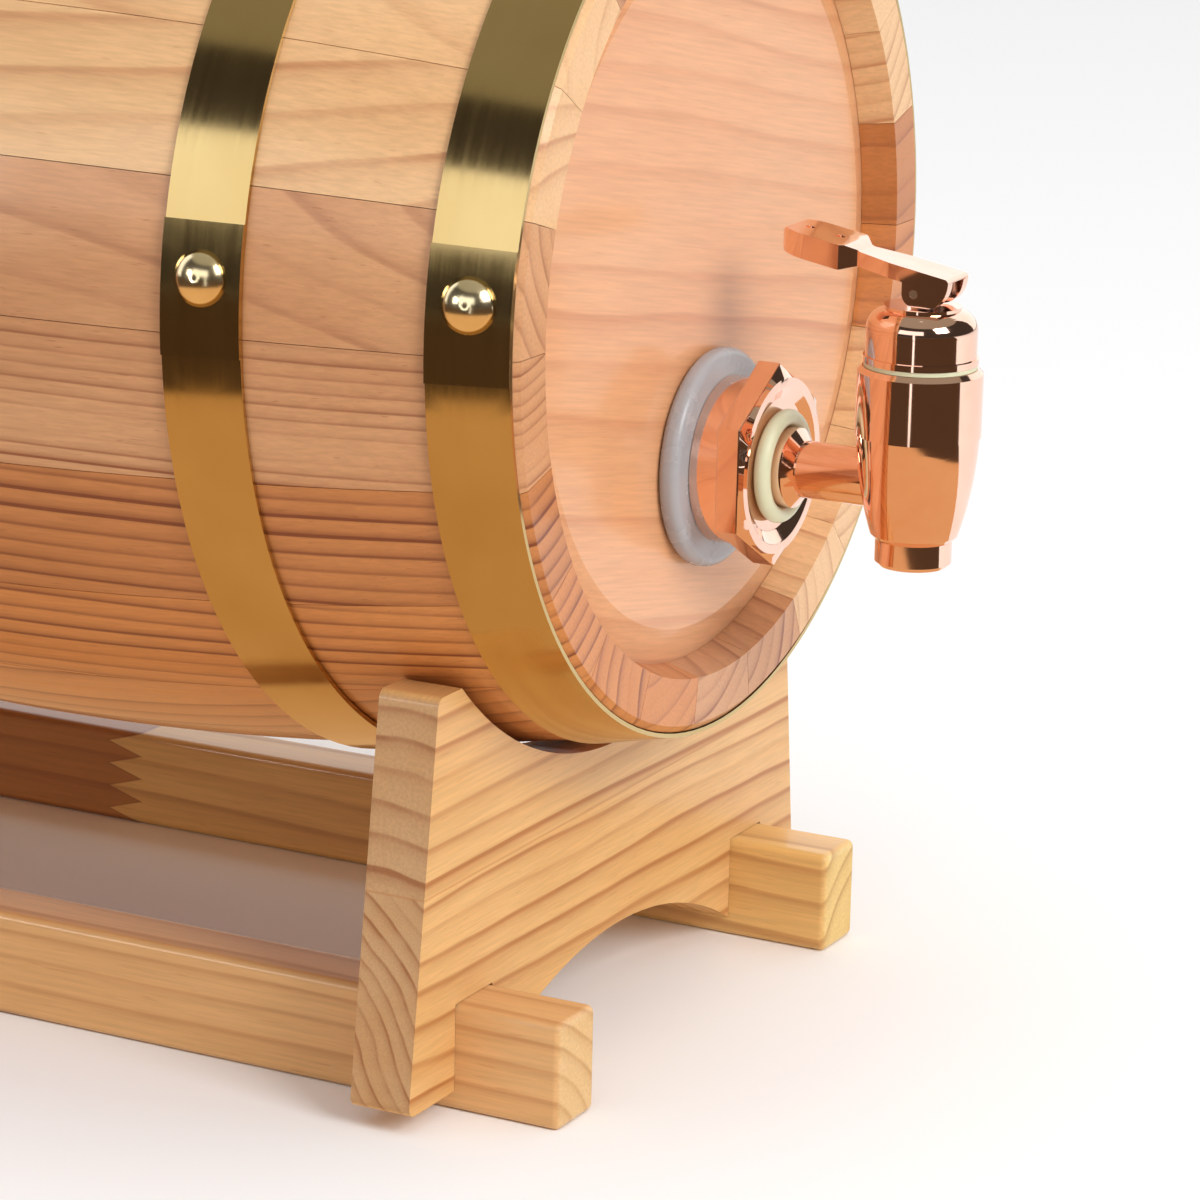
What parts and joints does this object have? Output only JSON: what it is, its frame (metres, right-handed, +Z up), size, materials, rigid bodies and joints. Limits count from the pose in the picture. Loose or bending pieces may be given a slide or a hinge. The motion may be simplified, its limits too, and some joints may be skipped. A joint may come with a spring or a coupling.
{
  "type": "cask liquor dispenser",
  "caption": "Small wooden cask on a cradle stand, with brass hoops, a bung and a flip-lever tap in its front head.",
  "frame": {"origin": "on the table, under the middle of the whole object's length and width", "axes": "+X out of the front head towards the tap, +Y to the right-hand side seen from behind the tap's front, +Z up"},
  "size_m": [0.3208, 0.202, 0.2598],
  "materials": {
    "cask_wood": "clear lacquer",
    "stand_pine": "clear lacquer",
    "hoop_brass": "brushed",
    "rose_gold": "polished",
    "steel": "satin",
    "silicone": "translucent"
  },
  "bodies": {
    "stand": {"near_rail": "stand_pine", "far_rail": "stand_pine", "front_plate": "stand_pine", "rear_plate": "stand_pine", "stand_screws": "steel"},
    "cask": {"stave_01": "cask_wood", "stave_02": "cask_wood", "stave_03": "cask_wood", "stave_04": "cask_wood", "stave_05": "cask_wood", "stave_06": "cask_wood", "stave_07": "cask_wood", "stave_08": "cask_wood", "stave_09": "cask_wood", "stave_10": "cask_wood", "stave_11": "cask_wood", "stave_12": "cask_wood", "stave_13": "cask_wood", "stave_14": "cask_wood", "stave_15": "cask_wood", "stave_16": "cask_wood", "stave_17": "cask_wood", "stave_18": "cask_wood", "stave_19": "cask_wood", "stave_20": "cask_wood", "stave_21": "cask_wood", "stave_22": "cask_wood", "front_head": "cask_wood", "rear_head": "cask_wood", "front_end_hoop": "hoop_brass", "rear_end_hoop": "hoop_brass", "front_quarter_hoop": "hoop_brass", "rear_quarter_hoop": "hoop_brass", "hoop_rivets": "hoop_brass", "outer_washer": "silicone", "flange_nut": "rose_gold", "collar_ring": "silicone", "inner_washer": "silicone", "lock_nut": "rose_gold", "shank_pipe": "rose_gold", "tap_body": "rose_gold", "bonnet": "rose_gold", "bonnet_gasket": "silicone", "stem_o_ring": "silicone", "return_spring": "steel"},
    "bung": {"bung": "cask_wood", "bung_gasket": "silicone"},
    "stem": {"stem": "steel", "seat_washer": "silicone"},
    "lever": {"lever": "rose_gold", "lever_pin": "steel"}
  },
  "joints": [
    {"name": "cask_lift", "type": "slide", "parent": "stand", "child": "cask", "axis": [0, 0, 1], "range_m": [0, 0.12]},
    {"name": "bung_pull", "type": "slide", "parent": "cask", "child": "bung", "axis": [0, 0, 1], "range_m": [0, 0.045]},
    {"name": "stem_lift", "type": "slide", "parent": "cask", "child": "stem", "axis": [0, 0, 1], "range_m": [0, 0.0044], "deforming": ["return_spring"]},
    {"name": "lever_flip", "type": "hinge", "parent": "stem", "child": "lever", "pos_m": [0.14863, 0, 0.151], "axis": [0, 1, 0], "range_deg": [0, 90]}
  ],
  "couplings": [
    {"joint": "lever_flip", "follows": "stem_lift", "rad_per_m": 357}
  ]
}
